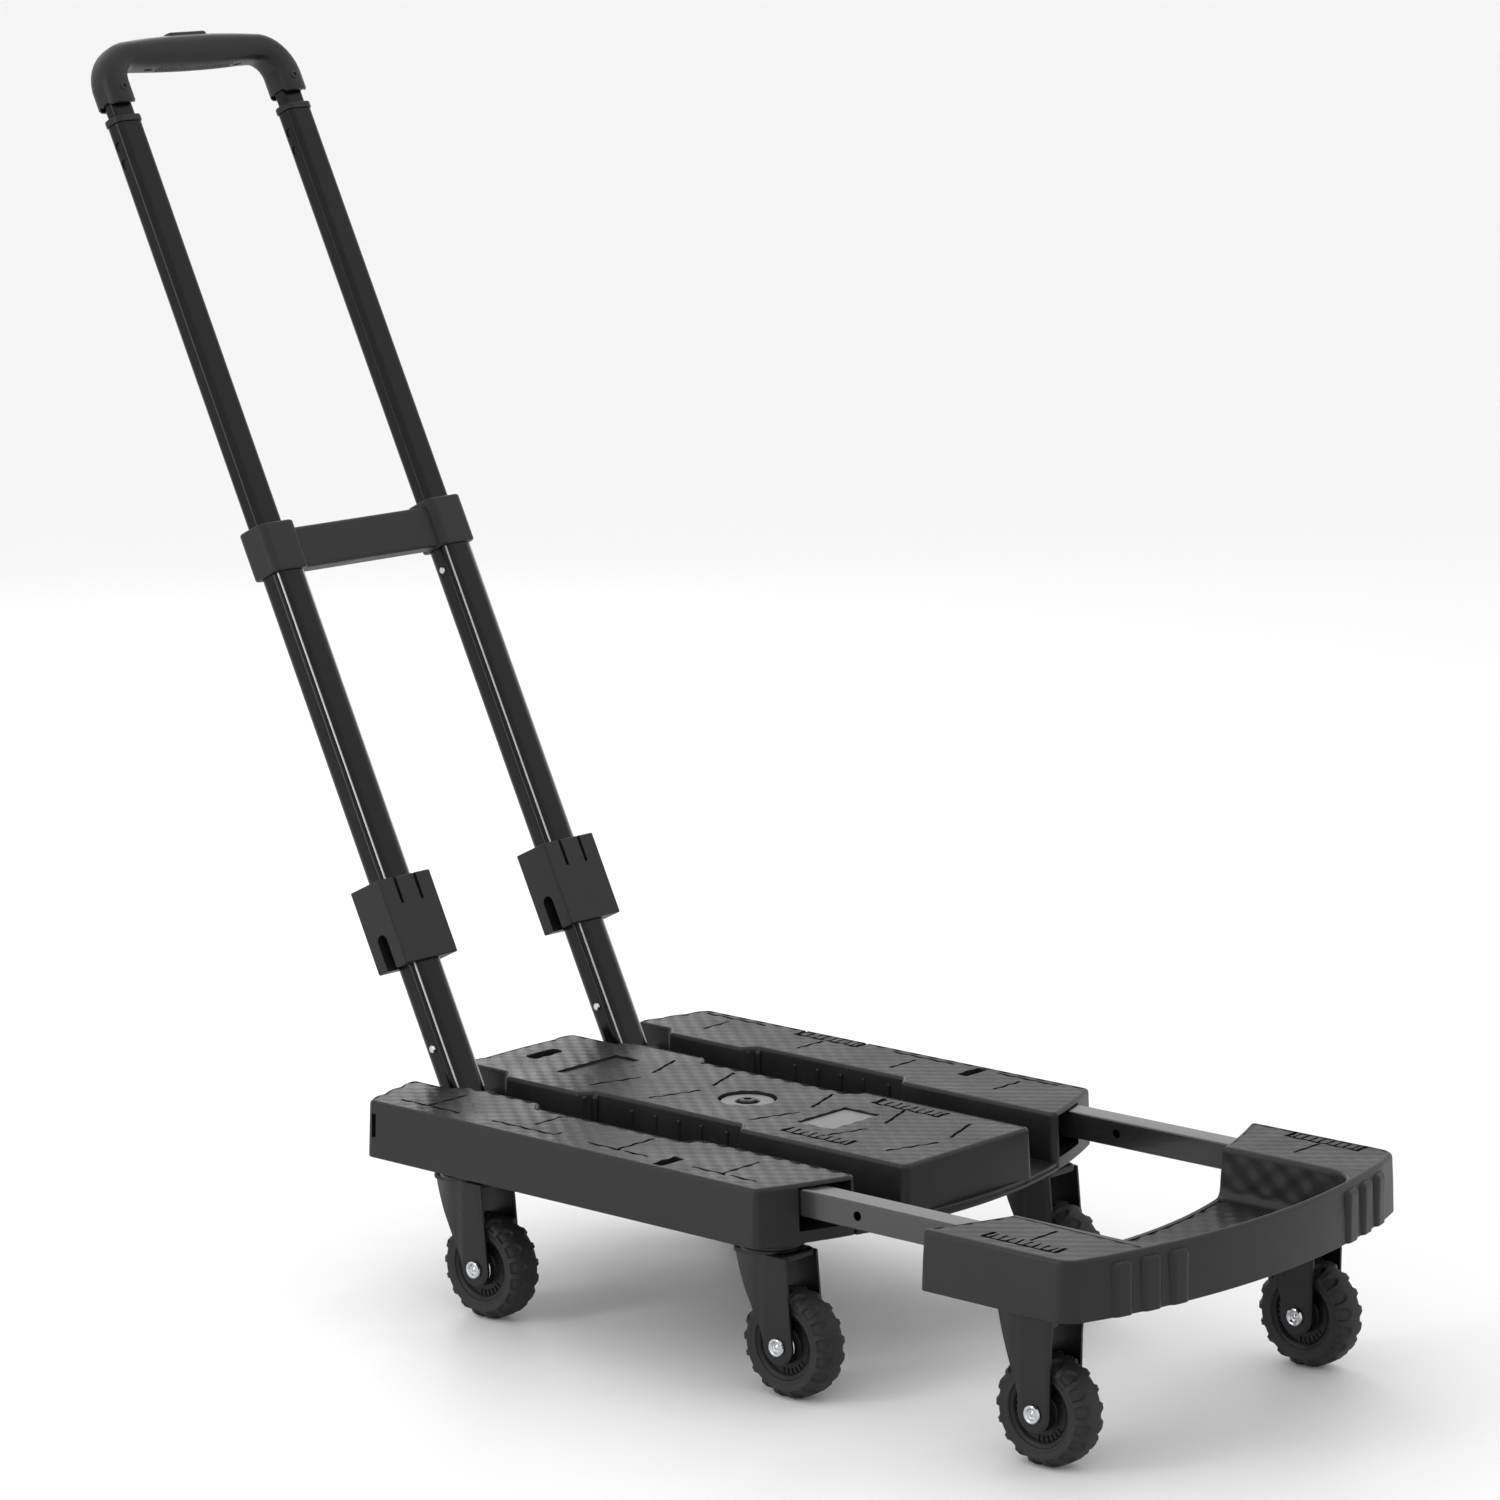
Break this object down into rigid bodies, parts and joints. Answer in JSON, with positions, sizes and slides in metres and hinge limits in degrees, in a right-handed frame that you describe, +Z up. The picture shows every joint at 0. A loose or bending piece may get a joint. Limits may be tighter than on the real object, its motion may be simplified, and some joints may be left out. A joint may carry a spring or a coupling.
{
  "type": "folding luggage cart",
  "caption": "Folding luggage cart with a grooved moulded platform, sliding nose, swivel casters and a telescopic fold-down handle.",
  "frame": {"origin": "middle of the whole cart's footprint box, on the floor", "axes": "+Z up, -Y towards the nose, +Y towards the handle, X along the handle hinge"},
  "size_m": [0.36, 1.0294, 0.8758],
  "materials": {
    "deck": "textured moulded plastic",
    "cover": "moulded plastic",
    "tyre": "matte lugged rubber",
    "hub": "moulded, fine ribs",
    "fork": "satin black coat",
    "chrome": "polished",
    "steel": "zinc plated",
    "slide_tube": "satin grey steel",
    "inner_tube": "gloss black",
    "handle_tube": "gloss black",
    "grip": "satin moulded plastic",
    "block": "matte moulded plastic",
    "washer": "light grey plastic"
  },
  "bodies": {
    "platform": {"platform_top": "deck", "platform_base": "cover", "centre_washer": "washer", "centre_bolt": "steel", "hinge_pin_left": "steel", "hinge_pin_right": "steel", "caster_plate_rear_left": "steel", "caster_plate_middle_left": "steel", "caster_plate_rear_right": "steel", "caster_plate_middle_right": "steel"},
    "nose": {"nose_top": "deck", "nose_base": "cover", "slide_tube_left": "slide_tube", "slide_tube_right": "slide_tube", "fork_front_left": "fork", "fork_front_right": "fork", "axle_front_left": "chrome", "axle_front_right": "chrome"},
    "caster_rear_left": {"fork_rear_left": "fork", "axle_rear_left": "chrome"},
    "caster_middle_left": {"fork_middle_left": "fork", "axle_middle_left": "chrome"},
    "caster_rear_right": {"fork_rear_right": "fork", "axle_rear_right": "chrome"},
    "caster_middle_right": {"fork_middle_right": "fork", "axle_middle_right": "chrome"},
    "wheel_rear_left": {"tyre_rear_left": "tyre", "hub_rear_left": "hub", "bearing_rear_left": "chrome"},
    "wheel_middle_left": {"tyre_middle_left": "tyre", "hub_middle_left": "hub", "bearing_middle_left": "chrome"},
    "wheel_front_left": {"tyre_front_left": "tyre", "hub_front_left": "hub", "bearing_front_left": "chrome"},
    "wheel_rear_right": {"tyre_rear_right": "tyre", "hub_rear_right": "hub", "bearing_rear_right": "chrome"},
    "wheel_middle_right": {"tyre_middle_right": "tyre", "hub_middle_right": "hub", "bearing_middle_right": "chrome"},
    "wheel_front_right": {"tyre_front_right": "tyre", "hub_front_right": "hub", "bearing_front_right": "chrome"},
    "handle_lower": {"lower_leg_left": "handle_tube", "lower_leg_right": "handle_tube", "crossbar": "block", "latch_pin_left": "chrome", "latch_pin_right": "chrome"},
    "handle_middle": {"middle_tube_left": "handle_tube", "middle_tube_right": "handle_tube", "collar_left": "grip", "collar_right": "grip"},
    "handle_upper": {"upper_tube_left": "inner_tube", "upper_tube_right": "inner_tube", "grip": "grip"},
    "grip_button": {"grip_button": "grip"},
    "lock_block_left": {"lock_block_left": "block"},
    "lock_block_right": {"lock_block_right": "block"}
  },
  "joints": [
    {"name": "swivel_rear_left", "type": "hinge", "parent": "platform", "child": "caster_rear_left", "pos_m": [-0.141, 0.078, 0.1], "axis": [0, 0, 1], "continuous": true},
    {"name": "swivel_middle_left", "type": "hinge", "parent": "platform", "child": "caster_middle_left", "pos_m": [-0.141, -0.203, 0.1], "axis": [0, 0, 1], "continuous": true},
    {"name": "swivel_rear_right", "type": "hinge", "parent": "platform", "child": "caster_rear_right", "pos_m": [0.141, 0.078, 0.1], "axis": [0, 0, 1], "continuous": true},
    {"name": "swivel_middle_right", "type": "hinge", "parent": "platform", "child": "caster_middle_right", "pos_m": [0.141, -0.203, 0.1], "axis": [0, 0, 1], "continuous": true},
    {"name": "spin_rear_left", "type": "hinge", "parent": "caster_rear_left", "child": "wheel_rear_left", "pos_m": [-0.141, 0.058, 0.0375], "axis": [1, 0, 0], "continuous": true},
    {"name": "spin_middle_left", "type": "hinge", "parent": "caster_middle_left", "child": "wheel_middle_left", "pos_m": [-0.141, -0.223, 0.0375], "axis": [1, 0, 0], "continuous": true},
    {"name": "spin_front_left", "type": "hinge", "parent": "nose", "child": "wheel_front_left", "pos_m": [-0.143, -0.4415, 0.0375], "axis": [1, 0, 0], "continuous": true},
    {"name": "spin_rear_right", "type": "hinge", "parent": "caster_rear_right", "child": "wheel_rear_right", "pos_m": [0.141, 0.058, 0.0375], "axis": [1, 0, 0], "continuous": true},
    {"name": "spin_middle_right", "type": "hinge", "parent": "caster_middle_right", "child": "wheel_middle_right", "pos_m": [0.141, -0.223, 0.0375], "axis": [1, 0, 0], "continuous": true},
    {"name": "spin_front_right", "type": "hinge", "parent": "nose", "child": "wheel_front_right", "pos_m": [0.143, -0.4415, 0.0375], "axis": [1, 0, 0], "continuous": true},
    {"name": "nose_slide", "type": "slide", "parent": "platform", "child": "nose", "axis": [0, 1, 0], "range_m": [0, 0.137]},
    {"name": "handle_fold", "type": "hinge", "parent": "platform", "child": "handle_lower", "pos_m": [0, 0.1348, 0.132], "axis": [1, 0, 0], "range_deg": [0, 116.5]},
    {"name": "middle_slide", "type": "slide", "parent": "handle_lower", "child": "handle_middle", "axis": [0, 0.4462, 0.8949], "range_m": [-0.3172, 0]},
    {"name": "upper_slide", "type": "slide", "parent": "handle_middle", "child": "handle_upper", "axis": [0, -0.4462, -0.8949], "range_m": [-0.25, 0.008]},
    {"name": "grip_button_press", "type": "slide", "parent": "handle_upper", "child": "grip_button", "axis": [0, -0.4462, -0.8949], "range_m": [0, 0.003], "stiffness_N_per_m": 600, "springref_m": -0.001},
    {"name": "lock_block_left_slide", "type": "slide", "parent": "handle_lower", "child": "lock_block_left", "axis": [0, 0.4462, 0.8949], "range_m": [-0.08, 0.055]},
    {"name": "lock_block_right_slide", "type": "slide", "parent": "handle_lower", "child": "lock_block_right", "axis": [0, 0.4462, 0.8949], "range_m": [-0.08, 0.055]}
  ],
  "couplings": [
    {"joint": "middle_slide", "follows": "handle_fold", "m_per_rad": -0.1559}
  ]
}
